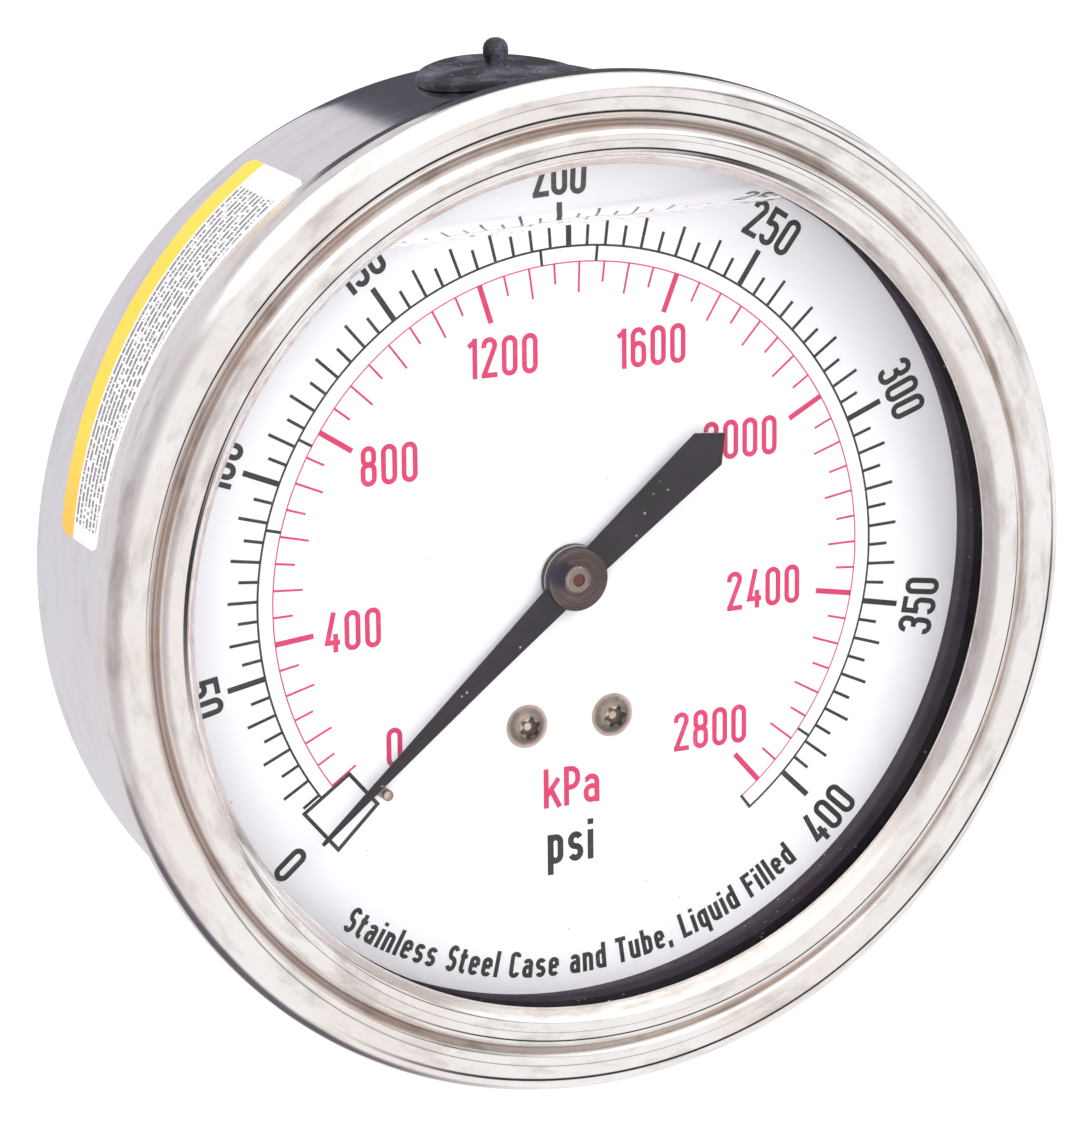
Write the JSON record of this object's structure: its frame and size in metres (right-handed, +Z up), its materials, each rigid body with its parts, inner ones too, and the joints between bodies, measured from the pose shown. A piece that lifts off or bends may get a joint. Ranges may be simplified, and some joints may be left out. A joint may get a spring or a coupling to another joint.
{
  "type": "pressure gauge",
  "caption": "Round liquid-filled dial pressure gauge with a beaded steel bezel, white double scale, geared pointer movement, C-shaped tube and a threaded back stem.",
  "frame": {"origin": "centre of the stem's free end, on the stem's axis", "axes": "+Z up towards 12 o'clock, the dial faces -Y, +Y leaves along the stem, +X is to the right seen from the front"},
  "size_m": [0.11, 0.0625, 0.1106],
  "materials": {
    "case_steel": "drawn stainless sheet, dull polish",
    "bezel_steel": "satin polished stainless sheet",
    "window": "clear, smooth",
    "gasket": "matt black rubber",
    "dial_white": "white enamel with printed scales",
    "screw_metal": "plain turned steel",
    "brass": "turned and stamped brass",
    "pointer_black": "matt black enamel",
    "hub_bronze": "dark oxidised brass",
    "spring_bronze": "phosphor bronze strip",
    "movement_steel": "stamped stainless",
    "tube_steel": "drawn stainless tube, heat tinted at the ends",
    "socket_steel": "machined stainless bar",
    "seal_rubber": "black rubber",
    "plug_rubber": "dusty black moulded rubber",
    "label": "yellow and white printed sticker"
  },
  "bodies": {
    "frame": {"case": "case_steel", "bezel_ring": "bezel_steel", "window": "window", "window_gasket": "gasket", "dial": "dial_white", "dial_screws": "screw_metal", "dial_spacers": "brass", "stop_pin": "screw_metal", "hairspring_stud": "brass", "front_plate": "brass", "back_plate": "brass", "plate_pillars": "brass", "plate_screws": "movement_steel", "movement_screws": "movement_steel", "bourdon_tube": "tube_steel", "socket": "socket_steel", "restrictor_screw": "brass", "stem_seal": "seal_rubber", "case_screws": "socket_steel", "screw_washers": "seal_rubber", "fill_plug": "plug_rubber", "label": "label"},
    "pointer": {"pointer": "pointer_black", "pointer_hub": "hub_bronze", "pinion_arbor": "brass", "hairspring_collet": "brass", "hairspring": "spring_bronze"},
    "sector": {"sector_gear": "brass", "sector_arbor": "movement_steel", "tail_pin": "movement_steel"},
    "tube_tip": {"tube_end": "movement_steel", "tip_pin": "movement_steel"},
    "link": {"link": "movement_steel"}
  },
  "joints": [
    {"name": "pointer_spin", "type": "hinge", "parent": "frame", "child": "pointer", "pos_m": [0, -0.0535, 0.03], "axis": [0, 1, 0], "range_deg": [0, 270], "deforming": ["hairspring"]},
    {"name": "sector_swing", "type": "hinge", "parent": "frame", "child": "sector", "pos_m": [0.0098, -0.0421, 0.0149], "axis": [0, 1, 0], "range_deg": [-31, 1]},
    {"name": "tube_uncoil", "type": "hinge", "parent": "frame", "child": "tube_tip", "pos_m": [-0.00445, -0.0405, 0.04024], "axis": [0, 1, 0], "range_deg": [-6.5, 0.5], "deforming": ["bourdon_tube"]},
    {"name": "link_pivot", "type": "hinge", "parent": "tube_tip", "child": "link", "pos_m": [0.02923, -0.0409, 0.01698], "axis": [0, 1, 0], "range_deg": [-4, 4]}
  ],
  "couplings": [
    {"joint": "sector_swing", "follows": "pointer_spin", "ratio": -0.11111},
    {"joint": "tube_uncoil", "follows": "pointer_spin", "ratio": -0.020933},
    {"joint": "link_pivot", "follows": "pointer_spin", "ratio": 0.007913}
  ]
}
